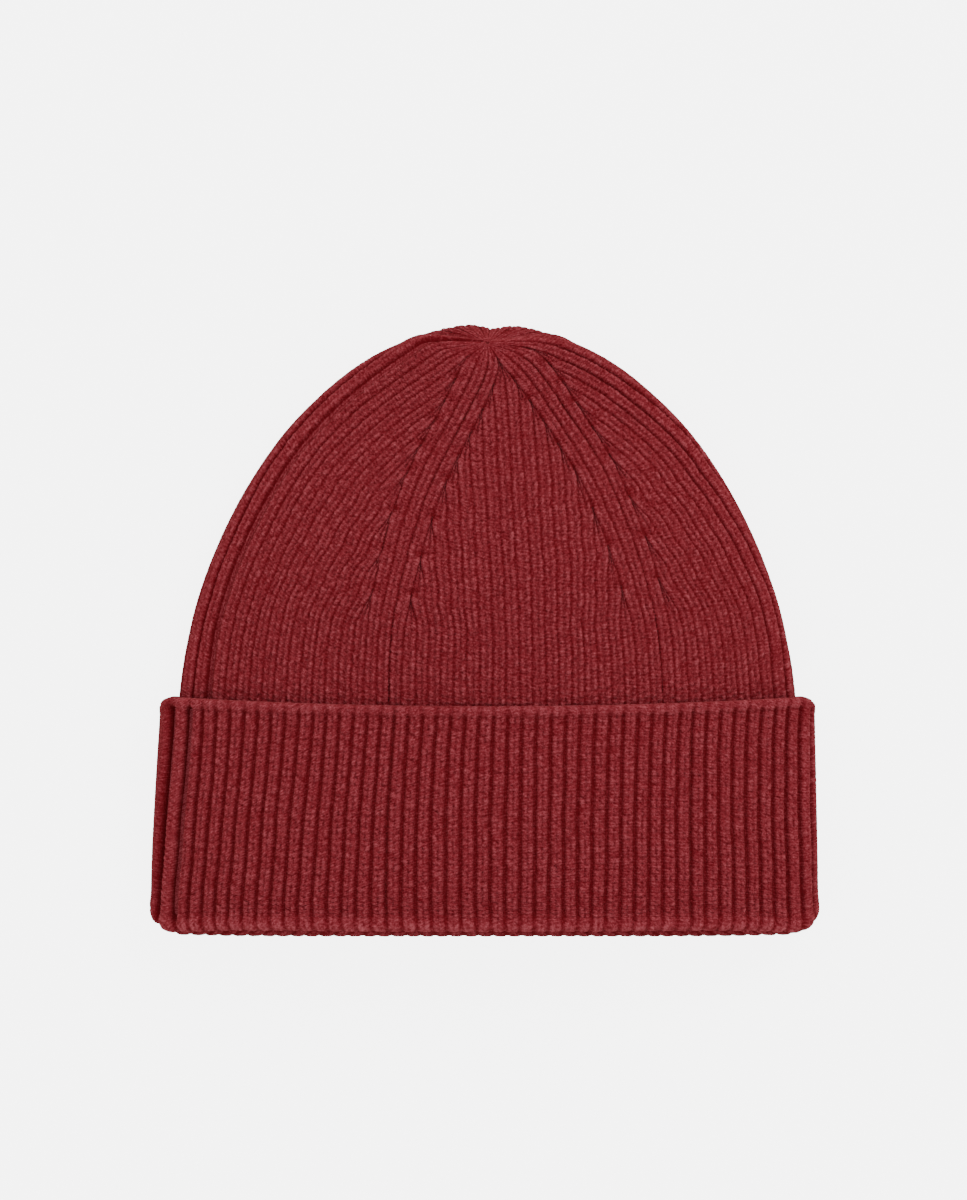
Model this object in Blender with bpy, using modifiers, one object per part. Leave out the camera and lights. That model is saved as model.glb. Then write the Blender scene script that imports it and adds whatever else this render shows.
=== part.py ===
"""Rib-knitted beanie with a turned-up cuff, lying flat on its back.

The hat is one piece of ribbed fabric. From its free edge the fabric runs down the outside of the cuff,
turns over at the bottom fold, climbs again behind the cuff and goes on as the crown, where ribs are
taken out in pairs beside four spines until the last ones are gathered at the tip.

Frame: +Z up, the hat's back on Z = 0, the tip towards +Y, the mouth towards -Y. Metres.
"""

import math
from collections import namedtuple

import bpy
import numpy as np

# Outline of the hat as it lies, over the tops of the ribs
CROWN_WIDTH = 0.2110
CROWN_LENGTH = 0.1273
CUFF_HEIGHT = 0.0821

# How much wider than the crown the turned-up cuff is, at its bottom fold and at its free edge
CUFF_SPREAD = 0.0182
CUFF_EDGE_SPREAD = 0.0134

# How far the crown and the cuff's free edge lie to the right of the bottom fold
UPPER_SHIFT = 0.0010

# Heights above the surface that the hat lies on
CROWN_HEIGHT = 0.0374
TIP_HEIGHT = 0.0140

# Clear height inside the mouth, at its middle
MOUTH_CLEAR = 0.0226

# The fabric: its wall, how far a rib stands out or in, and the least gap behind the cuff
WALL = 0.0022
RIB_RELIEF = 0.0006
POCKET_GAP = 0.0005

# Radius of the side folds, to the middle of the wall
CUFF_SIDE_FOLD = 0.0030
CROWN_SIDE_FOLD = 0.0050

# How far the bottom fold rises at the two corners of the cuff
CORNER_RISE = 0.0062

# The dent in the top outline behind the tip, between two soft lobes
NOTCH_DEPTH = 0.0018
NOTCH_WIDTH = 0.0052
NOTCH_X = 0.0018

# The knitting: ribs in each panel and in each spine between two panels, and its courses
PANELS = (("front", 18), ("right", 24), ("back", 18), ("left", 24))
SPINE_RIBS = 3
DECREASE_COURSES = (55, 61, 67, 73, 77, 81, 85, 89, 93)
TIP_COURSE = 96

# Worked out from the sizes above
CUFF_WIDTH = CROWN_WIDTH + CUFF_SPREAD
CUFF_EDGE_WIDTH = CROWN_WIDTH + CUFF_EDGE_SPREAD
SKIN = WALL / 2 + RIB_RELIEF
LAYER_STEP = WALL + 2 * RIB_RELIEF + POCKET_GAP
HAT_LENGTH = CUFF_HEIGHT + CROWN_LENGTH
MOUTH_Y = -HAT_LENGTH / 2 + SKIN
EDGE_Y = -HAT_LENGTH / 2 + CUFF_HEIGHT
CROWN_SPAN = CROWN_LENGTH - SKIN
CUFF_RISE = MOUTH_CLEAR + 2 * SKIN - 2 * CUFF_SIDE_FOLD
CROWN_RISE = CROWN_HEIGHT - 2 * SKIN - 2 * CROWN_SIDE_FOLD
TIP_RISE = TIP_HEIGHT - SKIN

# The crown's side outline is a superellipse with these two powers
OUTLINE_POWER = 1.6
OUTLINE_ROOT = 2.1

# A course of the crown bows like a parabola, and the bottom fold turns up only near its corners
CROWN_BOW = 2
CORNER_BOW = 20

# Sections of the cuff. up_front, up_side: shares of CUFF_HEIGHT above the fold. layer: 1 outer, 0 inner.
# corner: share of CORNER_RISE. edge: share of the way from CUFF_WIDTH to CUFF_EDGE_WIDTH.
CuffSection = namedtuple("CuffSection", "course up_front up_side layer corner edge relief")
CUFF_SECTIONS = (
    CuffSection(-39.0, 0.967, 1.004, 1.0, 0.0, 1.0, 0.8),
    CuffSection(-1.2, 0.024, 0.024, 1.0, 1.0, 0.0, 1.0),
    CuffSection(0.0, 0.000, 0.000, 0.5, 1.0, 0.0, 1.0),
    CuffSection(1.2, 0.024, 0.024, 0.0, 1.0, 0.0, 1.0),
)

# Sections of the crown. front, side, back: shares of CROWN_SPAN above the cuff's edge. gather: share of
# the outline's width that is left. rise, fold: shares of CROWN_RISE and CROWN_SIDE_FOLD. step: share of
# LAYER_STEP under it. side_lift, back_lift: shares of TIP_RISE. notch: share of NOTCH_DEPTH at the back.
# turn: share of CROWN_WIDTH by which the front panel sits to the right.
CrownSection = namedtuple(
    "CrownSection", "course front side back gather rise fold step side_lift back_lift notch turn relief"
)
CROWN_SECTIONS = (
    CrownSection(39, -0.020, 0.030, -0.020, 1.0, 0.87, 0.6, 1.0, 0.00, 0.00, 0.0, 0.052, 1.0),
    CrownSection(47, 0.119, 0.198, 0.134, 1.0, 0.98, 0.9, 0.0, 0.00, 0.00, 0.0, 0.051, 1.0),
    CrownSection(55, 0.256, 0.384, 0.300, 1.0, 1.00, 1.0, 0.0, 0.00, 0.00, 0.0, 0.049, 1.0),
    CrownSection(71, 0.531, 0.706, 0.603, 1.0, 0.80, 1.0, 0.0, 0.00, 0.00, 0.0, 0.040, 1.0),
    CrownSection(82, 0.722, 0.898, 0.818, 1.0, 0.50, 1.0, 0.0, 0.02, 0.00, 0.0, 0.035, 1.0),
    CrownSection(89, 0.836, 0.953, 0.940, 1.0, 0.27, 1.0, 0.0, 0.08, 0.04, 0.3, 0.030, 0.9),
    CrownSection(93, 0.905, 0.979, 1.005, 1.0, 0.12, 1.0, 0.0, 0.15, 0.35, 1.0, 0.020, 0.8),
    CrownSection(96, 0.959, 0.959, 0.959, 0.0, 0.00, 0.0, 0.0, 1.00, 1.00, 0.0, 0.000, 0.3),
)

# Where a section's surface is built: at the cuff's sections, then at these courses of the crown
CROWN_COURSES = (38, 47, 55, 61, 67, 73, 77, 85, 93, 95)

# Points across one rib, as a share of its width, with which side of the wall stands out there. A rib
# under the hat has the tops of the cuff's ribs pressed flat.
Point = namedtuple("Point", "share side")
ROUND_RIB = (Point(0.0, -1), Point(0.5, 1))
PRESSED_RIB = (Point(0.2, -1), Point(0.5, 1), Point(0.8, -1))

# Points round a section from which the ribs' places are read, and the courses below and above it
# between which the fabric's direction is taken
SECTION_POINTS = 720
NORMAL_REACH = 0.3

YARN_COLOUR = (0.26, 0.020, 0.022, 1.0)

Ring = namedtuple("Ring", "front side back bow half shift rise fold middle under notch turn relief")
Rib = namedtuple("Rib", "last_course points")


def cuff_ring(section):
    """The lengths of one section of the cuff, or of the wall behind it."""
    outside = CUFF_WIDTH + section.edge * (CUFF_EDGE_WIDTH - CUFF_WIDTH)
    reach = CUFF_HEIGHT - SKIN
    front = MOUTH_Y + section.up_front * reach
    side = MOUTH_Y + section.up_side * reach + section.corner * CORNER_RISE
    fold = CUFF_SIDE_FOLD + section.layer * LAYER_STEP
    middle = SKIN + LAYER_STEP + CUFF_SIDE_FOLD
    return Ring(
        front=front,
        side=side,
        back=front,
        bow=CORNER_BOW if section.corner else CROWN_BOW,
        half=outside / 2 - SKIN - (1 - section.layer) * LAYER_STEP,
        shift=section.edge * UPPER_SHIFT,
        rise=CUFF_RISE,
        fold=fold,
        middle=middle,
        under=middle - fold,
        notch=0.0,
        turn=CROWN_SECTIONS[0].turn * CROWN_WIDTH,
        relief=section.relief,
    )


def crown_ring(section):
    """The lengths of one section of the crown."""
    outline = max(0.0, 1 - max(section.side, 0.0) ** OUTLINE_POWER) ** (1 / OUTLINE_ROOT)
    floor = SKIN + section.step * LAYER_STEP
    fold = section.fold * CROWN_SIDE_FOLD
    return Ring(
        front=EDGE_Y + section.front * CROWN_SPAN,
        side=EDGE_Y + section.side * CROWN_SPAN,
        back=EDGE_Y + section.back * CROWN_SPAN,
        bow=CROWN_BOW,
        half=(CROWN_WIDTH / 2 - SKIN) * outline * section.gather,
        shift=UPPER_SHIFT,
        rise=section.rise * CROWN_RISE,
        fold=fold,
        middle=floor + fold + section.side_lift * TIP_RISE,
        under=floor + section.back_lift * TIP_RISE,
        notch=section.notch * NOTCH_DEPTH,
        turn=section.turn * CROWN_WIDTH,
        relief=section.relief,
    )


def smooth_slopes(places, values):
    """Slopes of a curve that passes each value without overshooting it."""
    gaps = np.diff(places)
    grades = np.diff(values) / gaps
    slopes = np.zeros(len(values))
    slopes[0] = grades[0]
    slopes[-1] = grades[-1]
    for i in range(1, len(values) - 1):
        before, after = grades[i - 1], grades[i]
        if before * after > 0:
            first = 2 * gaps[i] + gaps[i - 1]
            second = gaps[i] + 2 * gaps[i - 1]
            slopes[i] = (first + second) / (first / before + second / after)
    return slopes


def between(places, values, slopes, place):
    """The value of that curve at one place."""
    i = int(np.clip(np.searchsorted(places, place) - 1, 0, len(places) - 2))
    gap = places[i + 1] - places[i]
    t = (place - places[i]) / gap
    rise = values[i + 1] - values[i]
    bend = slopes[i] + slopes[i + 1] - 2 * rise / gap
    lean = 3 * rise / gap - 2 * slopes[i] - slopes[i + 1]
    return values[i] + gap * t * (slopes[i] + t * (lean + t * bend))


class Fabric:
    """The middle of the hat's wall as a smooth surface, from course to course and round each course."""

    def __init__(self):
        sections = CUFF_SECTIONS + CROWN_SECTIONS
        self.courses = np.array([s.course for s in sections], float)
        rings = [cuff_ring(s) for s in CUFF_SECTIONS] + [crown_ring(s) for s in CROWN_SECTIONS]
        self.columns = np.array(rings, float).T
        self.slopes = [smooth_slopes(self.courses, column) for column in self.columns]

    def ring(self, course):
        """The lengths of the section at any course."""
        pairs = zip(self.columns, self.slopes)
        return Ring(*(between(self.courses, column, slopes, course) for column, slopes in pairs))

    def loop(self, course):
        """Points round a section, from the front's middle over the right side to the back and round."""
        ring = self.ring(course)
        angle = np.linspace(0, 2 * math.pi, SECTION_POINTS + 1)
        across = np.sin(angle)
        out = np.abs(across)
        flat = max(0.0, 1 - ring.fold / max(ring.half, ring.fold, 1e-9))
        corner = np.clip((out - flat) / (1 - flat), 0, 1)
        thick = np.sqrt(1 - corner**2)
        front = np.cos(angle) >= 0
        x = ring.shift + ring.half * across
        centre = np.where(front, ring.front, ring.back)
        y = centre + (ring.side - centre) * out**ring.bow
        dent = ring.notch * np.exp(-(((x - NOTCH_X) / NOTCH_WIDTH) ** 2))
        y = y - np.where(front, 0.0, dent)
        over = ring.middle + ring.fold * thick + ring.rise * (1 - out**2)
        under = ring.middle - (ring.middle - ring.under) * thick
        return np.column_stack([x, y, np.where(front, over, under)])

    def outward(self, course):
        """The way the crown's outer face looks, at the points of a section."""
        reach = NORMAL_REACH
        here = self.loop(course)
        low = self.loop(max(course - reach, self.courses[0]))
        high = self.loop(min(course + reach, self.courses[-1]))
        along = high - low
        around = np.roll(here[:-1], -1, axis=0) - np.roll(here[:-1], 1, axis=0)
        around = np.vstack([around, around[:1]])
        normal = np.cross(around, along)
        return normal / np.maximum(np.linalg.norm(normal, axis=1, keepdims=True), 1e-12)


def knitting_chart():
    """Every rib, from the front panel's left edge to the right and round, with its last course."""
    ribs = []
    for panel, count in PANELS:
        for i in range(count):
            from_edge = min(i, count - 1 - i)
            taken_out = from_edge < len(DECREASE_COURSES)
            last = DECREASE_COURSES[from_edge] if taken_out else TIP_COURSE
            near_back = i >= count / 2 if panel == "right" else i < count / 2
            under = panel == "back" or (panel != "front" and near_back)
            ribs.append(Rib(last, PRESSED_RIB if under else ROUND_RIB))
        ribs += [Rib(TIP_COURSE, PRESSED_RIB if panel in ("right", "back") else ROUND_RIB)] * SPINE_RIBS
    return ribs


def rib_points(fabric, ribs, course):
    """One list of points for each rib that is left at a course, with the rib relief on them."""
    loop = fabric.loop(course)
    outward = fabric.outward(course)
    ring = fabric.ring(course)
    steps = np.linalg.norm(np.diff(loop, axis=0), axis=1)
    travelled = np.concatenate([[0.0], np.cumsum(steps)])
    left = [i for i, rib in enumerate(ribs) if rib.last_course >= course]
    pitch = travelled[-1] / len(left)
    front_count = PANELS[0][1]
    before_middle = sum(1 for i in left if i < front_count // 2)
    start = ring.turn - before_middle * pitch
    found = {}
    for order, i in enumerate(left):
        places = [(start + (order + p.share) * pitch) % travelled[-1] for p in ribs[i].points]
        points = np.column_stack([np.interp(places, travelled, loop[:, k]) for k in range(3)])
        normals = np.column_stack([np.interp(places, travelled, outward[:, k]) for k in range(3)])
        sides = np.array([[p.side] for p in ribs[i].points])
        found[i] = points + normals * sides * RIB_RELIEF * ring.relief
    return found


def next_rib(row, i, count):
    """The first rib of a row that comes after rib i."""
    return next((i + k) % count for k in range(1, count + 1) if (i + k) % count in row)


def knitted_surface(name):
    """The hat's open surface: rows of ribs, each rib's faces closing to a point where it is taken out."""
    fabric = Fabric()
    ribs = knitting_chart()
    cuff_courses = [s.course for s in CUFF_SECTIONS]
    courses = cuff_courses + list(CROWN_COURSES)
    vertices = []
    rows = []
    for course in courses:
        numbered = {}
        for i, points in rib_points(fabric, ribs, course).items():
            numbered[i] = list(range(len(vertices), len(vertices) + len(points)))
            vertices.extend(points.tolist())
        rows.append(numbered)
    faces = []
    for low, high in zip(rows, rows[1:]):
        for i in low:
            bottom = low[i] + low[next_rib(low, i, len(ribs))][:1]
            following = high[next_rib(high, i, len(ribs))][:1]
            top = high[i] + following if i in high else None
            for k in range(len(bottom) - 1):
                upper = (top[k + 1], top[k]) if top else tuple(following)
                faces.append((bottom[k], bottom[k + 1]) + upper)
    tip = len(vertices)
    vertices.append(fabric.loop(TIP_COURSE).mean(axis=0).tolist())
    last = [v for numbers in rows[-1].values() for v in numbers]
    faces += [(last[k], last[(k + 1) % len(last)], tip) for k in range(len(last))]
    mesh = bpy.data.meshes.new(name)
    mesh.from_pydata(vertices, [], faces)
    mesh.update()
    return mesh


def yarn_material():
    """Brick-red yarn with no shine."""
    material = bpy.data.materials.new("yarn")
    material.use_nodes = True
    shader = material.node_tree.nodes["Principled BSDF"]
    shader.inputs["Base Color"].default_value = YARN_COLOUR
    shader.inputs["Roughness"].default_value = 0.95
    shader.inputs["Metallic"].default_value = 0.0
    return material


def build():
    for old in list(bpy.data.objects):
        bpy.data.objects.remove(old, do_unlink=True)
    collection = bpy.data.collections.new("ribbed_beanie")
    bpy.context.scene.collection.children.link(collection)
    mesh = knitted_surface("knitted_shell")
    mesh.materials.append(yarn_material())
    mesh.shade_smooth()
    shell = bpy.data.objects.new("knitted_shell", mesh)
    collection.objects.link(shell)
    wall = shell.modifiers.new("wall", "SOLIDIFY")
    wall.thickness = WALL
    wall.offset = 0.0
    wall.use_even_offset = False


build()
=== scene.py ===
import math
from types import SimpleNamespace

import bmesh
import bpy
import numpy as np
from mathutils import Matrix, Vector


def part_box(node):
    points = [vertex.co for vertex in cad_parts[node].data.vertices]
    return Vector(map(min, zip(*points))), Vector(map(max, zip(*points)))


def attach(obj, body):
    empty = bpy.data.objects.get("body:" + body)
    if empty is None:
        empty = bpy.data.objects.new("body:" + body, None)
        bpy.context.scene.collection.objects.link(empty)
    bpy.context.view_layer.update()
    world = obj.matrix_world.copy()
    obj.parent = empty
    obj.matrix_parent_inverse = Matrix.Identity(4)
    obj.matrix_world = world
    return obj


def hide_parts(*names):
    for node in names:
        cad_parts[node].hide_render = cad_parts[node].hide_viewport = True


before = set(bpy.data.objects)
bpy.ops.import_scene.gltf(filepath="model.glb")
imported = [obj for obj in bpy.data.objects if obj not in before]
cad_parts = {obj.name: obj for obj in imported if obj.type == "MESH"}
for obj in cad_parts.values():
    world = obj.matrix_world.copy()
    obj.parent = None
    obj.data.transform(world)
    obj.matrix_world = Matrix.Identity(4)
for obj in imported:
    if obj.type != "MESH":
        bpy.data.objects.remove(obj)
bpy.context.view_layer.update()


# THE HAT'S FORM
# The hat is one piece of 1x1 rib. Its form is the middle of the wall: down the outside of the cuff, round
# the bottom fold, up behind the cuff and over the crown to the tip, as in the solid under it.
low_corner, high_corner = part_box("knitted_shell")
CUFF_WIDTH = 2 * high_corner.x
HAT_LENGTH = high_corner.y - low_corner.y
CROWN_HEIGHT = high_corner.z - low_corner.z
CUFF_EDGE_WIDTH = 0.2244
CUFF_HEIGHT = 0.0821
CROWN_WIDTH = 0.2110
UPPER_SHIFT = 0.0010
TIP_HEIGHT = 0.0140
MOUTH_CLEAR = 0.0226
WALL = 0.0022
RIB_RELIEF = 0.0006
POCKET_GAP = 0.0005
CUFF_SIDE_FOLD = 0.0030
CROWN_SIDE_FOLD = 0.0050

# from the wall's middle to the tops of its ribs, and from one layer of the folded cuff to the next
SKIN = WALL / 2 + RIB_RELIEF
LAYER_STEP = WALL + 2 * RIB_RELIEF + POCKET_GAP
MOUTH_Y = low_corner.y + SKIN
EDGE_Y = low_corner.y + CUFF_HEIGHT
CROWN_SPAN = HAT_LENGTH - CUFF_HEIGHT - SKIN
CUFF_RISE = MOUTH_CLEAR + 2 * SKIN - 2 * CUFF_SIDE_FOLD
CROWN_RISE = CROWN_HEIGHT - 2 * SKIN - 2 * CROWN_SIDE_FOLD
TIP_RISE = TIP_HEIGHT - SKIN

# the outline from above and the round sides, the corners of the cuff, and the notch at the top
OUTLINE_POWER = 1.6
OUTLINE_ROOT = 2.1
FOLD_POWER = 3.4
CORNER_RISE = 0.0078
CORNER_RADIUS = 0.0080
CORNER_ARC = 0.88
CORNER_POWER = 6
EDGE_CORNER = 0.0030
EDGE_CORNER_COURSES = 7.0
FRONT_FOLD_RISE = 0.0034
FRONT_FOLD_COURSES = 5.0
NOTCH_DEPTH = 0.0018
NOTCH_WIDTH = 0.0052
NOTCH_X = 0.0026
CUFF_TURN = 0.044

# course, height at the front and at the sides, layer, corner, edge, relief
CUFF_SECTIONS = (
    (-39.0, 0.967, 1.004, 1.0, 0.0, 1.0, 0.9),
    (-1.2, 0.024, 0.024, 1.0, 1.0, 0.0, 1.0),
    (0.0, 0.000, 0.000, 0.8, 1.0, 0.0, 1.0),
    (1.2, 0.024, 0.024, 0.0, 1.0, 0.0, 1.0),
)

# course, front, side, back, gather, rise, fold, step, side lift, back lift, notch, turn, relief
CROWN_SECTIONS = (
    (39, -0.020, 0.030, -0.020, 1.0, 0.87, 0.6, 1.0, 0.00, 0.00, 0.0, 0.052, 0.80),
    (47, 0.119, 0.198, 0.134, 1.0, 0.98, 0.9, 0.0, 0.00, 0.00, 0.0, 0.051, 0.80),
    (55, 0.256, 0.384, 0.300, 1.0, 1.00, 1.0, 0.0, 0.00, 0.00, 0.0, 0.049, 0.90),
    (71, 0.531, 0.706, 0.603, 1.0, 0.80, 1.0, 0.0, 0.00, 0.00, 0.0, 0.040, 1.20),
    (82, 0.722, 0.898, 0.818, 1.0, 0.50, 1.0, 0.0, 0.02, 0.00, 0.0, 0.035, 1.60),
    (89, 0.836, 0.953, 0.940, 1.0, 0.27, 1.0, 0.0, 0.08, 0.04, 0.3, 0.030, 1.60),
    (93, 0.905, 0.979, 1.011, 1.0, 0.12, 1.0, 0.0, 0.15, 0.35, 1.0, 0.020, 0.90),
    (96, 0.959, 0.959, 0.959, 0.0, 0.00, 0.0, 0.0, 1.00, 1.00, 0.0, 0.000, 0.35),
)
SECTION_POINTS = 720


def cuff_lengths(up_front, up_side, layer, corner, edge, relief):
    """Front, side, back, corner, half width, shift, rise, fold, middle, underside, notch, turn, relief."""
    reach = CUFF_HEIGHT - SKIN
    front = MOUTH_Y + up_front * reach
    side = MOUTH_Y + up_side * reach + corner * CORNER_RISE
    outside = CUFF_WIDTH + edge * (CUFF_EDGE_WIDTH - CUFF_WIDTH)
    half = outside / 2 - SKIN - (1 - layer) * LAYER_STEP
    shift = edge * UPPER_SHIFT
    fold = CUFF_SIDE_FOLD + layer * LAYER_STEP
    middle = SKIN + LAYER_STEP + CUFF_SIDE_FOLD
    turn = CUFF_TURN * CROWN_WIDTH
    heights = (CUFF_RISE, fold, middle, middle - fold)
    return (front, side, front, corner, half, shift, *heights, 0.0, turn, relief)


def crown_lengths(
    front, side, back, gather, rise, fold, step, side_lift, back_lift, notch, turn, relief
):
    """The same lengths for a section of the crown."""
    places = [EDGE_Y + share * CROWN_SPAN for share in (front, side, back)]
    outline = (1 - max(side, 0.0) ** OUTLINE_POWER) ** (1 / OUTLINE_ROOT)
    half = (CROWN_WIDTH / 2 - SKIN) * outline * gather
    floor = SKIN + step * LAYER_STEP
    fold_radius = fold * CROWN_SIDE_FOLD
    middle = floor + fold_radius + side_lift * TIP_RISE
    heights = (rise * CROWN_RISE, fold_radius, middle, floor + back_lift * TIP_RISE)
    dent = notch * NOTCH_DEPTH
    return (*places, 0.0, half, UPPER_SHIFT, *heights, dent, turn * CROWN_WIDTH, relief)


SECTION_COURSES = np.array([s[0] for s in CUFF_SECTIONS + CROWN_SECTIONS], float)
SECTION_LENGTHS = np.array(
    [cuff_lengths(*s[1:]) for s in CUFF_SECTIONS] + [crown_lengths(*s[1:]) for s in CROWN_SECTIONS]
)
CAST_ON = SECTION_COURSES[0]
TURNS = SECTION_LENGTHS[:, -2]
RELIEFS = SECTION_LENGTHS[:, -1]


def smooth_slopes(places, values):
    """Slopes of a curve that passes each value without overshooting it."""
    gaps = np.diff(places)
    grades = np.diff(values) / gaps
    slopes = np.zeros(len(values))
    slopes[0], slopes[-1] = grades[0], grades[-1]
    for i in range(1, len(values) - 1):
        if grades[i - 1] * grades[i] > 0:
            first = 2 * gaps[i] + gaps[i - 1]
            second = gaps[i] + 2 * gaps[i - 1]
            slopes[i] = (first + second) / (first / grades[i - 1] + second / grades[i])
    return slopes


def along_the_hat(values, courses):
    """The values of that curve at any courses."""
    slopes = smooth_slopes(SECTION_COURSES, values)
    i = np.clip(np.searchsorted(SECTION_COURSES, courses) - 1, 0, len(SECTION_COURSES) - 2)
    gap = SECTION_COURSES[i + 1] - SECTION_COURSES[i]
    t = (courses - SECTION_COURSES[i]) / gap
    rise = values[i + 1] - values[i]
    bend = slopes[i] + slopes[i + 1] - 2 * rise / gap
    lean = 3 * rise / gap - 2 * slopes[i] - slopes[i + 1]
    return values[i] + gap * t * (slopes[i] + t * (lean + t * bend))


def near(values, place, reach, power=2):
    """1 at a place, falling off to nothing on both sides of it."""
    return np.exp(-(((values - place) / reach) ** power))


def quarter_round(from_side, radius):
    """0 until the round corner begins, then up to 1 at the side along a quarter of a circle."""
    return 1 - np.sqrt(1 - np.clip(1 - from_side / radius, 0, 1) ** 2)


def section_loops(courses):
    """Points round the middle of the wall at each course, from the front's middle over the right side."""
    courses = np.clip(courses, SECTION_COURSES[0], SECTION_COURSES[-1])
    columns = [along_the_hat(column, courses)[:, None] for column in SECTION_LENGTHS.T]
    front, side, back, cornered, half, shift, rise, fold, middle, under, notch, _, _ = columns
    course = courses[:, None]
    angle = np.linspace(0, 2 * math.pi, SECTION_POINTS + 1)[None]
    in_front = np.cos(angle) >= 0
    across = np.sin(angle)
    out = np.abs(across)
    x = shift + half * across
    from_side = half * (1 - out)
    # the cuff's fold rises at its two corners alone, and the crown's courses bend all the way across
    cuff_bend = (1 - CORNER_ARC) * out**CORNER_POWER + CORNER_ARC * quarter_round(from_side, CORNER_RADIUS)
    bend = cornered * cuff_bend + (1 - cornered) * out**2
    centre = np.where(in_front, front, back)
    y = centre + (side - centre) * bend
    # the corners of the cuff's free edge are a little rounded
    at_edge = near(course, CAST_ON, EDGE_CORNER_COURSES)
    y = y - EDGE_CORNER * quarter_round(from_side, EDGE_CORNER) * at_edge
    # the front's fold lies a little higher than the back's, and the back is notched at the top
    raised = FRONT_FOLD_RISE * near(course, 0, FRONT_FOLD_COURSES) * (1 - out**8)
    y = y + np.where(in_front, raised, -notch * near(x, NOTCH_X, NOTCH_WIDTH))
    flat = np.clip(1 - fold / np.maximum(half, 1e-9), 0, 0.999)
    corner = np.clip((out - flat) / (1 - flat), 0, 1)
    thick = (1 - corner**FOLD_POWER) ** (1 / FOLD_POWER)
    over = middle + fold * thick + rise * (1 - out**2)
    beneath = middle - (middle - under) * thick
    return np.stack([x, y, np.where(in_front, over, beneath)], axis=-1)


# RIBS, SPINES AND SEAM
# The panels run front, right, back, left, with a spine of three ribs after each. Beside a spine a rib is
# taken out at each shaping course. The side seam closes the fabric in the middle of the left panel.
PANELS = (("front", 18), ("right", 24), ("back", 18), ("left", 24))
SHAPING_COURSES = (55, 61, 67, 73, 77, 81, 85, 89, 93)
TIP_COURSE = 96
CLOSING = 6.0
CLOSED_AFTER = 1.0
SEAM_WIDTH = 0.5
CUFF_SEAM_WIDTH = 1.6
SEAM_NARROWS = (2.0, 30.0)

# for each rib: last course, width, courses of the knots at its edge, that edge, and 1 if in a spine
chart = []
panel_starts = []
for panel, count in PANELS:
    panel_starts.append(len(chart))
    for number in range(count):
        if panel == "left" and number == count // 2:
            seam_rib = len(chart)
            chart.append((TIP_COURSE, SEAM_WIDTH, (), 0, 0))
        from_spine = min(number, count - 1 - number)
        taken_out = from_spine < len(SHAPING_COURSES)
        last = SHAPING_COURSES[from_spine] if taken_out else TIP_COURSE
        # where the rib between this one and the spine is taken out, a little knot pulls at this one's edge
        knots = SHAPING_COURSES[from_spine - 1 : from_spine] if from_spine else ()
        chart.append((last, 1.0, knots, 0 if number < count / 2 else 1, 0))
    chart.append((TIP_COURSE, 1.0, SHAPING_COURSES, 0, 1))
    chart.append((TIP_COURSE, 1.0, (), 0.5, 1))
    chart.append((TIP_COURSE, 1.0, SHAPING_COURSES, 1, 1))
rib_last, rib_width, knot_courses, knot_side, in_spine = zip(*chart)
rib_last = np.array(rib_last, float)
rib_width = np.array(rib_width)
in_spine = np.array(in_spine, float)
RIBS = len(chart)
FRONT_HALF = PANELS[0][1] // 2

# neighbouring ribs lean together in a slow wave, and each rib wanders a little by itself as well
WANDER = 0.07
WANDER_RATES = (0.11, 0.23, 0.51)
WANDER_SHARES = (0.5, 0.3, 0.2)
WAVE = 0.12
WAVE_RATE = 0.075
WAVE_TURN = 4.0
WAVE_CALMS_BY = 30.0
WAVE_ON_CROWN = 0.35
rib_noise = np.random.default_rng(11)
wander_phase = rib_noise.uniform(0, 2 * math.pi, (len(WANDER_RATES), RIBS + 1))


def ribs_open(courses):
    """How wide each rib is at each course, as a share of a full rib. One that is taken out narrows to 0."""
    left = np.clip((rib_last[None] + CLOSED_AFTER - courses) / CLOSING, 0, 1)
    return np.where(rib_last[None] >= TIP_COURSE, 1.0, left * left * (3 - 2 * left))


def rib_edges(courses):
    """Where each rib begins at each course, counted in ribs from the front's middle.

    The other two values are how many ribs' widths each course has, and which ribs are still there.
    """
    c = courses[:, None]
    left = ribs_open(c)
    widths = left * rib_width[None]
    narrow = np.clip((courses - SEAM_NARROWS[0]) / (SEAM_NARROWS[1] - SEAM_NARROWS[0]), 0, 1)
    widths[:, seam_rib] = CUFF_SEAM_WIDTH + (SEAM_WIDTH - CUFF_SEAM_WIDTH) * narrow
    edges = np.concatenate([np.zeros((len(courses), 1)), np.cumsum(widths, axis=1)], axis=1)
    wander = sum(
        np.sin(c * rate + phase[None]) * share
        for rate, phase, share in zip(WANDER_RATES, wander_phase, WANDER_SHARES)
    )
    wander[:, -1] = wander[:, 0]
    round_the_hat = 2 * math.pi * (np.arange(RIBS + 1)[None] % RIBS) / RIBS
    calming = np.clip((WAVE_CALMS_BY - c) / WAVE_CALMS_BY, WAVE_ON_CROWN, 1)
    wave = np.sin(c * WAVE_RATE + WAVE_TURN * np.sin(round_the_hat)) * calming
    drift = wander * WANDER + wave * WAVE
    edges = edges + drift * np.concatenate([left, left[:, :1]], axis=1)
    return edges - edges[:, FRONT_HALF][:, None], widths.sum(axis=1), left > 0


# how many courses away on each side the wall's slope is taken from
NORMAL_REACH = 0.3


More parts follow.
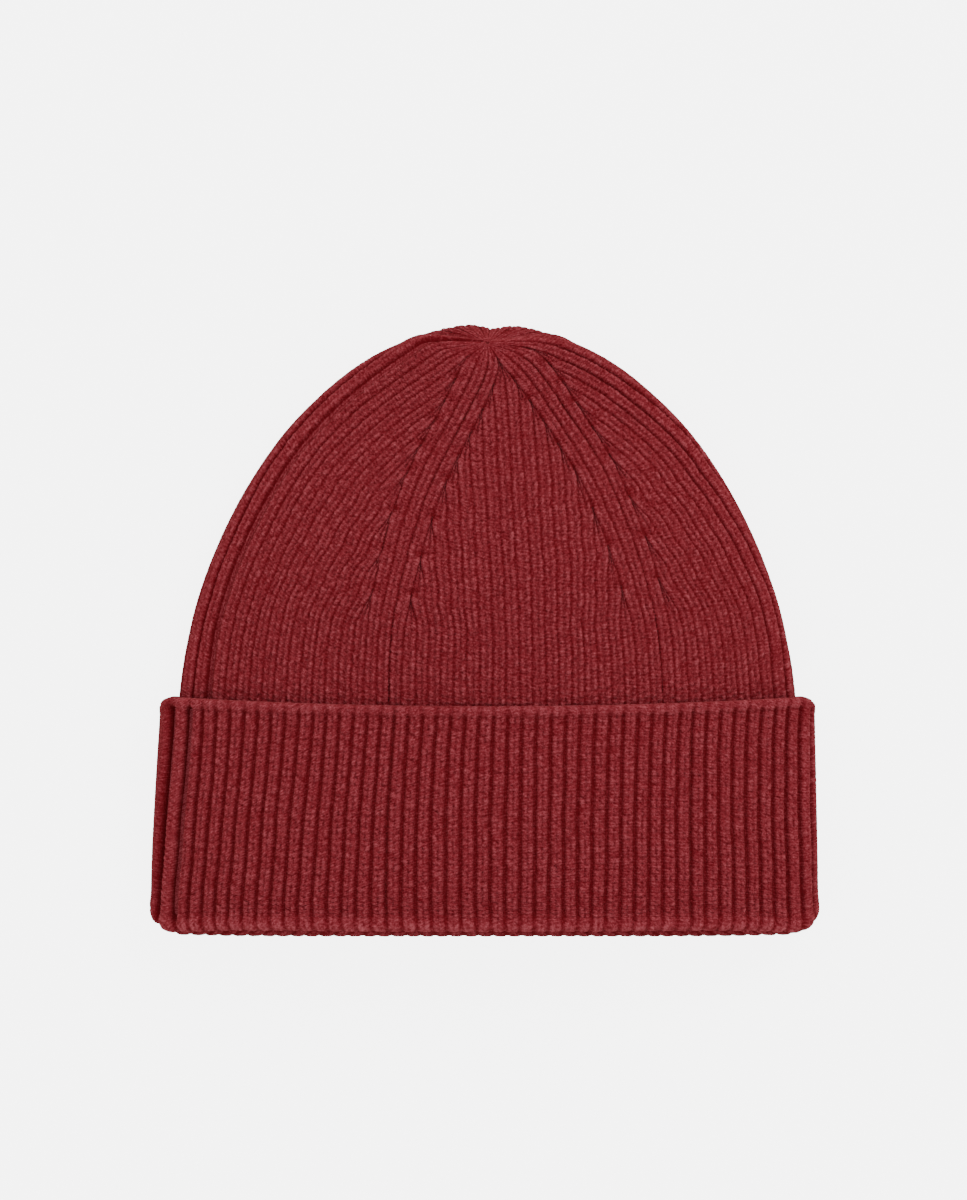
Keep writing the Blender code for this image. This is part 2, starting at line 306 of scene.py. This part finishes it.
def wall_points(courses, shares, between_ribs):
    """Middle of the wall, outward direction and nearness to a side, at each share of each rib on each row.

    The last two values are each row's pitch and the ribs that it still has. With between_ribs the shares
    run from one rib's middle to the next one's, where the cuff has its ribs.
    """
    loops = section_loops(courses)
    before = section_loops(courses - NORMAL_REACH)
    after = section_loops(courses + NORMAL_REACH)
    around = np.roll(loops[:, :-1], -1, axis=1) - np.roll(loops[:, :-1], 1, axis=1)
    around = np.concatenate([around, around[:, :1]], axis=1)
    outward = np.cross(around, after - before)
    outward /= np.maximum(np.linalg.norm(outward, axis=2, keepdims=True), 1e-12)
    travelled = np.cumsum(np.linalg.norm(np.diff(loops, axis=1), axis=2), axis=1)
    travelled = np.concatenate([np.zeros((len(courses), 1)), travelled], axis=1)
    edges, ribs_left, alive = rib_edges(courses)
    turn = along_the_hat(TURNS, courses)
    sideways = np.sin(np.linspace(0, 2 * math.pi, SECTION_POINTS + 1)) ** 2
    points = np.zeros((len(courses), RIBS, len(shares), 3))
    normals = np.zeros_like(points)
    sides = np.zeros(points.shape[:3])
    pitch = travelled[:, -1] / ribs_left
    for r in range(len(courses)):
        lows, highs = edges[r, :-1], edges[r, 1:]
        if between_ribs:
            centres = (lows + highs) / 2
            following = np.roll(centres, -1)
            following[-1] += ribs_left[r]
            lows, highs = centres, following
        places = lows[:, None] + (highs - lows)[:, None] * np.array(shares)[None]
        places = (turn[r] + places * pitch[r]) % travelled[r, -1]
        for k in range(3):
            points[r, :, :, k] = np.interp(places, travelled[r], loops[r, :, k])
            normals[r, :, :, k] = np.interp(places, travelled[r], outward[r, :, k])
        sides[r] = np.interp(places, travelled[r], sideways)
    return points, normals, sides, pitch, alive


# STITCHES
# A rib is one column of knit stitches, each a V of two yarn legs, standing clear of the column of purl
# stitches beside it, which sinks into the groove. The turned-up cuff shows its stitches upside down.
NOMINAL_PITCH = 0.0042
LEG_LENGTH = 0.64
LEG_MIDDLE = 0.52
LEG_OVERLAP = 0.3
LEG_ROUNDING = 0.7
LEG_DRIFT = 0.10
LEG_SHIFT = 0.022
LEG_SIZE = 0.16
STITCH_ROWS = 160
leg_noise = rib_noise.normal(0, 1, (2 * RIBS, STITCH_ROWS, 3))


def yarn_legs(share, course, ribs, start, spread, width):
    """Height of the V legs, from 0 to 1, and the tone of each, at a share of a rib and along its courses.

    A leg begins at start from the rib's middle, leans out by spread, and is width wide, as shares of a rib.
    """
    x = np.abs(share - 0.5)
    hand = (share > 0.5).astype(int)
    height = np.zeros(share.shape)
    tone = np.zeros(share.shape)
    for shift in (-1, 0, 1):
        row = np.floor(course) + shift
        place = (2 * ribs + hand) % len(leg_noise), row.astype(int) % STITCH_ROWS
        random, drift, size = (leg_noise[place][..., k] for k in range(3))
        t = course - row + LEG_DRIFT * drift
        centre = start + spread * np.clip(t, -LEG_OVERLAP, 1 + LEG_OVERLAP) + LEG_SHIFT * random
        across = (x - centre) / (width * (1 + LEG_SIZE * size))
        along = (t - LEG_MIDDLE) / LEG_LENGTH
        blob = np.clip(1 - across**2 - along**2, 0, 1) ** LEG_ROUNDING * (1 + LEG_SIZE * random)
        tone = np.where(blob > height, random, tone)
        height = np.maximum(height, blob)
    return height, tone


def next_rib_left(alive):
    """For each row and rib, the number of the next rib that is still there."""
    rows, count = alive.shape
    found = np.zeros((rows, count), int)
    following = np.zeros(rows, int)
    for i in list(range(count - 1, -1, -1)) * 2:
        found[:, i] = following
        following = np.where(alive[:, i], i, following)
    return found


class Layer:
    """One face of the fabric among the points of a piece, over the ribs that the piece has."""

    def __init__(self, first, alive, stations, ribs):
        self.first = first
        self.alive = alive
        self.stations = stations
        self.ribs = ribs

    def start(self, row, rib):
        """Number of a rib's first point on a row."""
        return self.first + (row * RIBS + rib) * self.stations

    def row(self, number):
        """Numbers across the piece on one row, with the first point beyond its last rib."""
        row = number % len(self.alive)
        found = []
        for rib in self.ribs:
            if self.alive[row, rib]:
                found += range(self.start(row, rib), self.start(row, rib) + self.stations)
        return found + [self.start(row, (self.ribs[-1] + 1) % RIBS)]

    def edge(self, rib):
        """Numbers up one cut edge, where the edge is the first point of a rib."""
        return [self.start(row, rib) for row in range(len(self.alive))]

    def faces(self):
        """Quads between the rows, and closing triangles where a rib is taken out."""
        following = next_rib_left(self.alive)
        rows = np.arange(len(self.alive))
        quads = []
        triangles = [np.zeros((0, 3), int)]
        for rib in self.ribs:
            here = np.where(self.alive[:, rib])[0]
            own = self.start(rows, rib)[:, None] + np.arange(self.stations)[None]
            beyond = self.start(rows, following[:, rib])
            strip = np.concatenate([own, beyond[:, None]], axis=1)
            low, high = strip[here[:-1]], strip[here[1:]]
            corners = [low[:, :-1], low[:, 1:], high[:, 1:], high[:, :-1]]
            quads.append(np.stack(corners, axis=-1).reshape(-1, 4))
            if here[-1] < rows[-1]:
                last = strip[here[-1]]
                tip = np.full(self.stations, beyond[here[-1] + 1])
                triangles.append(np.stack([last[:-1], last[1:], tip], axis=-1))
        return np.concatenate(quads), np.concatenate(triangles)


def zipped(a, b):
    """Triangles between two lines of points that run the same way."""
    triangles = []
    i = j = 0
    while i < len(a) - 1 or j < len(b) - 1:
        if j == len(b) - 1 or (i < len(a) - 1 and (i + 1) * (len(b) - 1) <= (j + 1) * (len(a) - 1)):
            triangles.append((a[i], a[i + 1], b[j]))
            i += 1
        else:
            triangles.append((a[i], b[j + 1], b[j]))
            j += 1
    return triangles


class Cloth:
    """Faces of fabric that are gathered into one closed piece."""

    def __init__(self):
        self.points = []
        self.marks = []
        self.quads = []
        self.triangles = []
        self.size = 0

    def add_points(self, points, marks):
        """Returns the number of the first of them."""
        first = self.size
        self.points.append(points.reshape(-1, 3))
        self.marks.append(marks.reshape(-1, marks.shape[-1]))
        self.size += len(self.points[-1])
        return first

    def add(self, face, ribs):
        """Takes in all points of one face, of which only the ribs asked for get faces."""
        points, marks, alive = face
        layer = Layer(self.add_points(points, marks), alive, points.shape[2], ribs)
        quads, triangles = layer.faces()
        self.quads.append(quads)
        self.triangles.append(triangles)
        return layer

    def join(self, a, b):
        """Closes the gap between two lines of points."""
        self.triangles.append(zipped(a, b))

    def finish(self, name, material):
        """Makes the piece, with the marks that its material reads at each point."""
        points = np.concatenate(self.points)
        marks = np.concatenate(self.marks)
        quads = np.concatenate(self.quads)
        triangles = np.concatenate([np.asarray(t, int).reshape(-1, 3) for t in self.triangles])
        used, numbers = np.unique(np.concatenate([quads.ravel(), triangles.ravel()]), return_inverse=True)
        starts = [np.arange(len(quads)) * 4, quads.size + np.arange(len(triangles)) * 3]
        mesh = bpy.data.meshes.new(name)
        mesh.vertices.add(len(used))
        mesh.vertices.foreach_set("co", points[used].astype(np.float32).ravel())
        mesh.loops.add(len(numbers))
        mesh.loops.foreach_set("vertex_index", numbers.astype(np.int32))
        mesh.polygons.add(len(quads) + len(triangles))
        mesh.polygons.foreach_set("loop_start", np.concatenate(starts).astype(np.int32))
        mesh.update(calc_edges=True)
        mesh.validate()
        for column, label in enumerate(("stitch_across", "stitch_along", "height", "tone")):
            attribute = mesh.attributes.new(label, "FLOAT", "POINT")
            attribute.data.foreach_set("value", marks[used][:, column].astype(np.float32))
        form = bmesh.new()
        form.from_mesh(mesh)
        bmesh.ops.recalc_face_normals(form, faces=form.faces)
        form.to_mesh(mesh)
        form.free()
        mesh.shade_smooth()
        mesh.materials.append(material)
        piece = bpy.data.objects.new(name, mesh)
        bpy.context.scene.collection.objects.link(piece)
        return piece


# THE YARN
# Brick-red woollen yarn, spun from two plies and a little felted: matt, with a soft bloom of loose fibre.
# Its colour is painted darker in the grooves, painted shade where the light and the bloom don't reach,
# and painted lighter on the crests, a painted highlight where the bloom catches the light.
YARN_PAINTED_SHADE = (0.140, 0.0045, 0.0085, 1)
YARN_MIDDLE = (0.243, 0.0250, 0.0340, 1)
YARN_PAINTED_HIGHLIGHT = (0.470, 0.1000, 0.1180, 1)
YARN_MIDDLE_AT = 0.38
NOMINAL_COURSE = 0.0021
FLECK_NARROWING = 0.75
FLECK_SCALE = 1300
FIBRE_SCALE = 1600
FLECK_CONTRAST = 1.65
FIBRE_CONTRAST = 1.45
HEIGHT_LIGHT = 0.52
TONE_LIGHT = 0.04
PLY_LIGHT = 0.06
TWISTS = 2.0
TWIST_SLANT = 1.2


def yarn_material(name):
    """Matt wool: painted shade and highlight by the stitches' height and plies' twist, with its flecks."""
    material = bpy.data.materials.new(name)
    material.use_nodes = True
    nodes, links = material.node_tree.nodes, material.node_tree.links
    shader = nodes["Principled BSDF"]
    shader.inputs["Roughness"].default_value = 0.92
    shader.inputs["Specular IOR Level"].default_value = 0.03
    shader.inputs["Sheen Weight"].default_value = 0.15
    shader.inputs["Sheen Roughness"].default_value = 0.5
    shader.inputs["Sheen Tint"].default_value = (0.9, 0.20, 0.18, 1)

    def value_of(label):
        attribute = nodes.new("ShaderNodeAttribute")
        attribute.attribute_name = label
        return attribute.outputs["Fac"]

    def calculate(operation, *values):
        node = nodes.new("ShaderNodeMath")
        node.operation = operation
        for socket, value in zip(node.inputs, values):
            if isinstance(value, (int, float)):
                socket.default_value = value
            else:
                links.new(value, socket)
        return node.outputs[0]

    # flecks of the yarn lie along the stitches, and the fibre's own mottling lies anyhow
    place = nodes.new("ShaderNodeCombineXYZ")
    fleck_width = NOMINAL_PITCH * FLECK_NARROWING
    links.new(calculate("MULTIPLY", value_of("stitch_across"), fleck_width), place.inputs[0])
    links.new(calculate("MULTIPLY", value_of("stitch_along"), NOMINAL_COURSE), place.inputs[1])
    fleck = nodes.new("ShaderNodeTexNoise")
    fleck.inputs["Scale"].default_value = FLECK_SCALE
    fleck.inputs["Detail"].default_value = 5
    fleck.inputs["Roughness"].default_value = 0.7
    links.new(place.outputs[0], fleck.inputs["Vector"])
    where = nodes.new("ShaderNodeTexCoord")
    fibre = nodes.new("ShaderNodeTexNoise")
    fibre.inputs["Scale"].default_value = FIBRE_SCALE
    fibre.inputs["Detail"].default_value = 4
    fibre.inputs["Roughness"].default_value = 0.65
    links.new(where.outputs["Object"], fibre.inputs["Vector"])
    flecked = calculate("SUBTRACT", fleck.outputs["Fac"], 0.5)
    mottled = calculate("SUBTRACT", fibre.outputs["Fac"], 0.5)

    # the two plies of the yarn wind round each other along every leg,
    # which is painted as slanting stripes of light and shade
    wound = calculate("MULTIPLY", value_of("stitch_along"), 2 * math.pi * TWISTS)
    wound = calculate("MULTIPLY_ADD", value_of("stitch_across"), 2 * math.pi * TWIST_SLANT, wound)

    # higher yarn is painted lighter, a painted highlight, and lower yarn darker, painted shade
    tone = calculate("MULTIPLY", value_of("height"), HEIGHT_LIGHT)
    tone = calculate("MULTIPLY_ADD", value_of("tone"), TONE_LIGHT, tone)
    tone = calculate("MULTIPLY_ADD", flecked, FLECK_CONTRAST, tone)
    tone = calculate("MULTIPLY_ADD", mottled, FIBRE_CONTRAST, tone)
    tone = calculate("MULTIPLY_ADD", calculate("SINE", wound), PLY_LIGHT, tone)
    # the ramp runs from the painted shade of the grooves through the yarn's own red to the painted
    # highlight
    shade = nodes.new("ShaderNodeValToRGB")
    shade.color_ramp.elements[0].position = 0.0
    shade.color_ramp.elements[0].color = YARN_PAINTED_SHADE
    shade.color_ramp.elements[1].position = 1.0
    shade.color_ramp.elements[1].color = YARN_PAINTED_HIGHLIGHT
    middle = shade.color_ramp.elements.new(YARN_MIDDLE_AT)
    middle.color = YARN_MIDDLE
    links.new(tone, shade.inputs["Fac"])
    links.new(shade.outputs["Color"], shader.inputs["Base Color"])

    bump = nodes.new("ShaderNodeBump")
    bump.inputs["Strength"].default_value = 0.9
    bump.inputs["Distance"].default_value = 0.0005
    links.new(fibre.outputs["Fac"], bump.inputs["Height"])
    links.new(bump.outputs["Normal"], shader.inputs["Normal"])
    return material


yarn = yarn_material("brick_red_yarn")


# THE CROWN
# Four panels of rib, knitted in the round and shaped to the tip. The outer face carries every stitch. The
# face inside the hat and the part behind the cuff, which nobody sees closely, keep the ribs alone.
CROWN_SHARES = (0.0, 0.07, 0.16, 0.27, 0.39, 0.5, 0.61, 0.73, 0.84, 0.93)
PLAIN_SHARES = (0.0, 0.27, 0.5, 0.73)
ROWS_PER_COURSE = 5
CROWN_START = 1.0
CROWN_SHOWS = 36.0
CROWN_ENDS = 95.8
TIP_CENTRE = 95.98

# the ribs' grooves, which are deeper where the fabric turns over the sides of the hat
RIB_DEPTH = 0.0006
GROOVE = 3.8
RIB_ROUNDING = 0.985
SIDE_DEPTH = 2.8
INNER_SIDE_DEPTH = 0.5
SPINE_DEPTH = 0.0003
SIDE_STRETCH = 0.14
SEAM_DIP = 0.0022
CLOSED_FLATNESS = 0.9
CLOSING_HOLE = 0.0003

# the bottom fold, the cast-on edge and the rim, with the painted highlight along the front fold's
# lower edge and the cast-on roll, and the painted shade under the fold
FOLD_COURSES = 2.2
FOLD_FLATNESS = 0.75
FOLD_SWELL = 0.0005
FOLD_HIGHLIGHT = 3.0
FOLD_HIGHLIGHT_AT, FOLD_HIGHLIGHT_COURSES = -0.4, 0.8
UNDER_FOLD_COURSES = 3
UNDER_FOLD_SHADE = 3.5
WELT_COURSES = 1.7
WELT_FLATNESS = 0.85
WELT_HIGHLIGHT = 2.0
RIM_COURSES = 0.6
RIM_THINNING = 0.96


def knit_face(
    courses, shares, side, between_ribs=False, depth=RIB_DEPTH, groove=GROOVE, groove_floor=0.0, dress=None
):
    """One face of the fabric. side is 1 for the crown's outer face and -1 for the other one.

    Each value of the face is an array of rows, ribs and shares. Its dress adds the stitches to them.
    """
    face = SimpleNamespace()
    points, face.normals, face.sides, pitch, alive = wall_points(courses, shares, between_ribs)
    shape = face.sides.shape
    face.at_left = points[..., 0] < 0
    face.share = np.broadcast_to(np.array(shares)[None, None], shape)
    face.ribs = np.broadcast_to(np.arange(RIBS)[None, :, None], shape)
    face.course = np.broadcast_to(courses[:, None, None], shape)
    face.along = TIP_COURSE - (TIP_COURSE - face.course) * (1 + SIDE_STRETCH * face.sides)
    face.squeeze = np.minimum(1, pitch / NOMINAL_PITCH)[:, None, None]
    face.fold = near(face.course, 0, FOLD_COURSES)
    face.welt = near(face.course, CAST_ON, WELT_COURSES, 6)

    from_edge = np.minimum(face.share, 1 - face.share)
    across = from_edge if (side > 0) != between_ribs else 0.5 - from_edge
    across = 0.5 * np.clip((across - groove_floor) / (0.5 - groove_floor), 0, 1)
    crest = np.sqrt(np.clip(1 - RIB_ROUNDING * (1 - 2 * across) ** groove, 0, 1))
    closed = 1 - ribs_open(courses[:, None])[:, :, None]
    face.crest = 1 - (1 - crest) * (1 - CLOSED_FLATNESS * closed)
    at_sides = face.sides**4
    if side > 0:
        depth = depth * (1 + SIDE_DEPTH * at_sides) + SPINE_DEPTH * in_spine[None, :, None]
    else:
        depth = depth * (1 + INNER_SIDE_DEPTH * at_sides)
    depth = depth * (1 - FOLD_FLATNESS * face.fold) * (1 - WELT_FLATNESS * face.welt)
    relief = along_the_hat(RELIEFS, courses)[:, None, None] * face.squeeze
    face.lift = SKIN + FOLD_SWELL * face.fold
    face.lift = face.lift - relief * (depth * (1 - face.crest) + CLOSING_HOLE * closed)
    face.height = face.crest
    face.tone = np.zeros(shape)
    if dress:
        dress(face)
    if side > 0 and not between_ribs:
        face.lift = np.where(face.ribs == seam_rib, SKIN - SEAM_DIP, face.lift)

    # the underside of the bottom fold, which shows below the front one, lies in its shadow
    beneath = near(face.course, 0, UNDER_FOLD_COURSES) * (points[..., 2] < MOUTH_CLEAR / 2)
    # the lower edge of the front fold and the rolled cast-on edge are painted lighter, a painted highlight
    fold_highlight = FOLD_HIGHLIGHT * near(face.course, FOLD_HIGHLIGHT_AT, FOLD_HIGHLIGHT_COURSES) * (1 - beneath)
    tone = face.tone + fold_highlight - UNDER_FOLD_SHADE * beneath + WELT_HIGHLIGHT * face.welt
    rim = np.clip((face.course - CAST_ON) / RIM_COURSES, 0, 1)
    lift = face.lift * np.sqrt(1 - (1 - rim) ** 2 * RIM_THINNING)
    points = points + face.normals * lift[..., None] * side
    points[..., 2] = np.maximum(points[..., 2], 0)
    marks = np.stack([face.ribs + face.share, face.along, np.clip(face.height, 0, 1), tone], axis=-1)
    return points, marks, alive


# how much less the stitches stand out at the cast-on edge, at the sides, by the tip and in the outline
WELT_CALM = 0.4
SIDE_CALM = 0.8
TIP_CALM = 0.6
TIP_CALM_COURSES = 3
EDGEWISE = 0.25
FUZZ = 0.00011
face_noise = np.random.default_rng(5)


def lay_stitches(face, yarn_height, leg_relief):
    """Sinks the face between the legs of its stitches and roughens it with loose fibre."""
    calm = (1 - WELT_CALM * face.welt) * (1 - FOLD_FLATNESS * face.fold) * (1 - SIDE_CALM * face.sides**10)
    calm = calm * (1 - TIP_CALM * near(face.course, TIP_COURSE, TIP_CALM_COURSES))
    # the outline is drawn by yarns that lie side by side, so it is nearly smooth
    face.flatwise = EDGEWISE + (1 - EDGEWISE) * np.abs(face.normals[..., 2])
    sunk = leg_relief * (1 - yarn_height) * face.crest * calm
    fuzz = face_noise.normal(0, FUZZ, face.lift.shape)
    face.lift = face.lift + (fuzz - sunk) * face.squeeze * face.flatwise
    face.height = face.crest * (0.5 + 0.5 * np.maximum(yarn_height, 0.5 * face.welt))


# the crown's stitches, the shade in its outermost grooves, and the knots and holes where ribs are taken out
CROWN_LEGS = {"start": 0.20, "spread": 0.08, "width": 0.175}
CROWN_LEG_RELIEF = 0.0010
LEFT_SIDE_SHADE = 10.0
RIGHT_SIDE_SHADE = 3.5
KNOT_PLACE, KNOT_WIDTH = 0.1, 0.4
KNOT_BEFORE, KNOT_COURSES = 0.4, 0.9
HOLE_AFTER, HOLE_COURSES = 1.3, 0.8
KNOT_LIFT = 0.0007
KNOT_HIGHLIGHT_HOLE_SHADE = 0.4
TIP_SMOOTH_COURSES = 9


def crown_stitches(face):
    """The crown's stitches, with the knots and small holes beside its spines."""
    yarn_height, face.tone = yarn_legs(face.share, face.along, face.ribs, **CROWN_LEGS)
    lay_stitches(face, yarn_height, CROWN_LEG_RELIEF)
    # hardly any light reaches into the grooves that turn over the sides, least of all at the left
    shade = np.where(face.at_left, LEFT_SIDE_SHADE, RIGHT_SIDE_SHADE)
    face.tone = face.tone - shade * face.sides**6 * (1 - face.crest)
    knots = np.zeros(face.course.shape)
    holes = np.zeros(face.course.shape)
    for i in range(RIBS):
        at_side = near(np.abs(face.share[:, i] - knot_side[i]), KNOT_PLACE, KNOT_WIDTH)
        for place in knot_courses[i]:
            knots[:, i] += near(face.course[:, i], place - KNOT_BEFORE, KNOT_COURSES) * at_side
            holes[:, i] += near(face.course[:, i], place + HOLE_AFTER, HOLE_COURSES) * at_side
    pulled = face.squeeze**2 * (1 - near(face.course, TIP_COURSE, TIP_SMOOTH_COURSES)) * face.flatwise
    face.lift = face.lift + pulled * (KNOT_LIFT * knots - CLOSING_HOLE * holes)
    # the knots are painted lighter, a painted highlight, and the holes darker, painted shade
    face.height = face.height + KNOT_HIGHLIGHT_HOLE_SHADE * (knots - holes)


def course_rows(start, end, per_course):
    """Evenly spaced courses, with a whole number of rows for each."""
    count = int(round((end - start) * per_course)) + 1
    return np.linspace(start, end, count)


crown_show = knit_face(
    course_rows(CROWN_SHOWS, CROWN_ENDS, ROWS_PER_COURSE), CROWN_SHARES, 1, dress=crown_stitches
)
crown_hidden = knit_face(course_rows(CROWN_START, CROWN_SHOWS, 1), PLAIN_SHARES, 1)
crown_inside = knit_face(course_rows(CROWN_START, CROWN_ENDS, 1), PLAIN_SHARES, -1)

# the last rows close on one point outside the fabric and one inside it
TIP_FILL = 0.6
TIP_LIGHT = 0.4
tip_points, tip_normals, _, _, _ = wall_points(np.array([TIP_CENTRE]), (0.0,), False)
tip_middle = tip_points[0, :, 0].mean(axis=0)
tip_out = tip_normals[0, :, 0].mean(axis=0)
tip_out /= np.linalg.norm(tip_out)
tip_ends = np.array([tip_middle + tip_out * SKIN * TIP_FILL, tip_middle - tip_out * SKIN])
tip_marks = np.array([[0, TIP_COURSE, TIP_LIGHT, 0]] * 2)

panel_ends = panel_starts[1:] + [RIBS]
for (panel, _), first_rib, end_rib in zip(PANELS, panel_starts, panel_ends):
    # the cut runs up the middle of a spine, whose ribs reach the tip
    ribs = [(i - 1) % RIBS for i in range(first_rib, end_rib)]
    cloth = Cloth()
    shown = cloth.add(crown_show, ribs)
    hidden = cloth.add(crown_hidden, ribs)
    inside = cloth.add(crown_inside, ribs)
    outer_tip = cloth.add_points(tip_ends, tip_marks)
    inner_tip = outer_tip + 1
    for top, tip in ((shown.row(-1), outer_tip), (inside.row(-1), inner_tip)):
        cloth.triangles.append([(a, b, tip) for a, b in zip(top, top[1:])])
    cloth.join(shown.row(0), hidden.row(-1))
    cloth.join(hidden.row(0), inside.row(0))
    for cut in (ribs[0], (ribs[-1] + 1) % RIBS):
        outer_edge = hidden.edge(cut) + shown.edge(cut) + [outer_tip]
        cloth.join(outer_edge, inside.edge(cut) + [inner_tip])
    piece = cloth.finish(f"crown_{panel}", yarn)
    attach(piece, "root")
    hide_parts("knitted_shell")


# THE TURNED-UP CUFF
# The same fabric shows its other side here, with the ribs stretched wider and their grooves deeper. It
# runs from the cast-on edge, a firm narrow roll, down to the bottom fold and just round it.
CUFF_SHARES = (0.0, 0.09, 0.15, 0.24, 0.37, 0.5, 0.63, 0.76, 0.85, 0.91)
CUFF_RIB_DEPTH = 0.0018
CUFF_LEGS = {"start": 0.15, "spread": 0.14, "width": 0.25}
CUFF_LEG_RELIEF = 0.0010
CUFF_GROOVE = 2.4
CUFF_GROOVE_FLOOR = 0.09

# the row of loops along the cast-on edge, and the side seam, with painted shade
# in its furrows and on its edge column
CAST_ON_BULGE = 0.0007
CAST_ON_LOOPS = 0.35
CAST_ON_HEIGHT = 0.65
SEAM_STRAND_SLANT = 1.6
SEAM_EDGE_HEIGHT = 0.3
SEAM_EDGE_SHADE = 3.5
SEAM_REACH_NEAR, SEAM_REACH_FAR = 0.17, 0.24
SEAM_LEFT_REACH = 0.15
SEAM_SHADE = 5.0
SEAM_AT_FOLD = 0.7


def side_seam(face, yarn_height):
    """A smooth column at the cuff's edge, a broad ridge of slanting stitches and a furrow on each side."""
    at_ridge = face.ribs == seam_rib
    at_edge = face.ribs == seam_rib - 1
    strands = 0.5 + 0.5 * np.cos(2 * math.pi * (face.course - SEAM_STRAND_SLANT * face.share))
    yarn_height = np.where(at_ridge, 0.5 * strands + 0.5 * yarn_height, yarn_height)
    yarn_height = np.where(at_edge, SEAM_EDGE_HEIGHT + 0.5 * yarn_height, yarn_height)
    place = face.ribs + face.share
    reach = np.where(face.share > 0.5, SEAM_REACH_NEAR, SEAM_REACH_FAR)
    furrow = near(place, seam_rib + 1, reach, 4) + near(place, seam_rib, SEAM_LEFT_REACH)
    furrow = furrow * (1 - face.welt) * (1 - SEAM_AT_FOLD * face.fold)
    face.lift = face.lift - SEAM_DIP * furrow
    # the furrows and the smooth edge column are painted darker, painted shade
    face.tone = face.tone - SEAM_SHADE * furrow - SEAM_EDGE_SHADE * at_edge
    return yarn_height


def cuff_stitches(face):
    """The cuff's stitches, the side seam, and the row of loops along the cast-on edge."""
    yarn_height, face.tone = yarn_legs(face.share, -face.course, face.ribs, **CUFF_LEGS)
    yarn_height = side_seam(face, yarn_height)
    loops = 1 + CAST_ON_LOOPS * np.cos(2 * math.pi * (face.share - 0.5))
    face.lift = face.lift + face.welt * CAST_ON_BULGE * loops * (1 - SIDE_CALM * face.sides**8)
    face.crest = np.maximum(face.crest, CAST_ON_HEIGHT * face.welt)
    lay_stitches(face, yarn_height, CUFF_LEG_RELIEF)


cuff_show = knit_face(
    course_rows(CAST_ON, CROWN_START, ROWS_PER_COURSE),
    CUFF_SHARES,
    -1,
    between_ribs=True,
    depth=CUFF_RIB_DEPTH,
    groove=CUFF_GROOVE,
    groove_floor=CUFF_GROOVE_FLOOR,
    dress=cuff_stitches,
)
cuff_pocket = knit_face(course_rows(CAST_ON, CROWN_START, 1), PLAIN_SHARES, 1, between_ribs=True)

for (panel, _), first_rib, end_rib in zip(PANELS, panel_starts, panel_ends):
    ribs = list(range(first_rib, end_rib))
    cloth = Cloth()
    shown = cloth.add(cuff_show, ribs)
    pocket = cloth.add(cuff_pocket, ribs)
    for row in (0, -1):
        cloth.join(shown.row(row), pocket.row(row))
    for cut in (ribs[0], (ribs[-1] + 1) % RIBS):
        cloth.join(shown.edge(cut), pocket.edge(cut))
    piece = cloth.finish(f"cuff_{panel}", yarn)
    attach(piece, "root")
    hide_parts("knitted_shell")


# GROUND, LIGHT AND CAMERA
# A plain pale ground, wide soft light from all round and above, and the camera straight over the hat.
GROUND_SIZE = 12.0
GROUND_DROP = 0.0001
GROUND_GLOW = 5.2
bpy.ops.mesh.primitive_plane_add(size=GROUND_SIZE, location=(0, 0, -GROUND_DROP))
ground = bpy.context.active_object
ground.name = "ground"
paper = bpy.data.materials.new("pale_ground")
paper.use_nodes = True
paper_nodes, paper_links = paper.node_tree.nodes, paper.node_tree.links
paper_shader = paper_nodes["Principled BSDF"]
paper_shader.inputs["Base Color"].default_value = (0.90, 0.90, 0.90, 1)
paper_shader.inputs["Roughness"].default_value = 0.9
paper_shader.inputs["Emission Color"].default_value = (1, 1, 1, 1)
# only what the camera sees directly is this bright, so that the ground doesn't light the hat from below
seen = paper_nodes.new("ShaderNodeLightPath")
bright = paper_nodes.new("ShaderNodeMath")
bright.operation = "MULTIPLY"
bright.inputs[1].default_value = GROUND_GLOW
paper_links.new(seen.outputs["Is Camera Ray"], bright.inputs[0])
paper_links.new(bright.outputs[0], paper_shader.inputs["Emission Strength"])
ground.data.materials.append(paper)

SKY_STRENGTH = 0.90
world = bpy.data.worlds.new("studio")
world.use_nodes = True
world.node_tree.nodes["Background"].inputs["Color"].default_value = (1, 1, 1, 1)
world.node_tree.nodes["Background"].inputs["Strength"].default_value = SKY_STRENGTH
bpy.context.scene.world = world

# name, place, size and power of each lamp
LAMPS = (
    ("key", (1.1, 1.3, 1.5), 1.0, 16.0),
    ("fill", (-1.3, -0.4, 1.5), 1.4, 5.0),
)
for name, place, size, power in LAMPS:
    lamp = bpy.data.lights.new(name, "AREA")
    lamp.size = size
    lamp.energy = power
    holder = bpy.data.objects.new(name, lamp)
    holder.location = place
    holder.rotation_euler = Vector(place).to_track_quat("Z", "Y").to_euler()
    bpy.context.scene.collection.objects.link(holder)

METRES_PER_PIXEL = 0.000343
PICTURE_SIZE = (967, 1200)
HAT_MIDDLE_PIXEL = (484.5, 631.0)
CAMERA_HEIGHT = 2.0
OUTLINE_HEIGHT = 0.008
SENSOR_HEIGHT = 24
camera_data = bpy.data.cameras.new("camera")
camera_data.sensor_fit = "VERTICAL"
camera_data.sensor_height = SENSOR_HEIGHT
view_height = PICTURE_SIZE[1] * METRES_PER_PIXEL
camera_data.lens = SENSOR_HEIGHT * (CAMERA_HEIGHT - OUTLINE_HEIGHT) / view_height
camera = bpy.data.objects.new("camera", camera_data)
camera.location = (
    (PICTURE_SIZE[0] / 2 - HAT_MIDDLE_PIXEL[0]) * METRES_PER_PIXEL,
    (HAT_MIDDLE_PIXEL[1] - PICTURE_SIZE[1] / 2) * METRES_PER_PIXEL,
    CAMERA_HEIGHT,
)
bpy.context.scene.collection.objects.link(camera)
bpy.context.scene.camera = camera
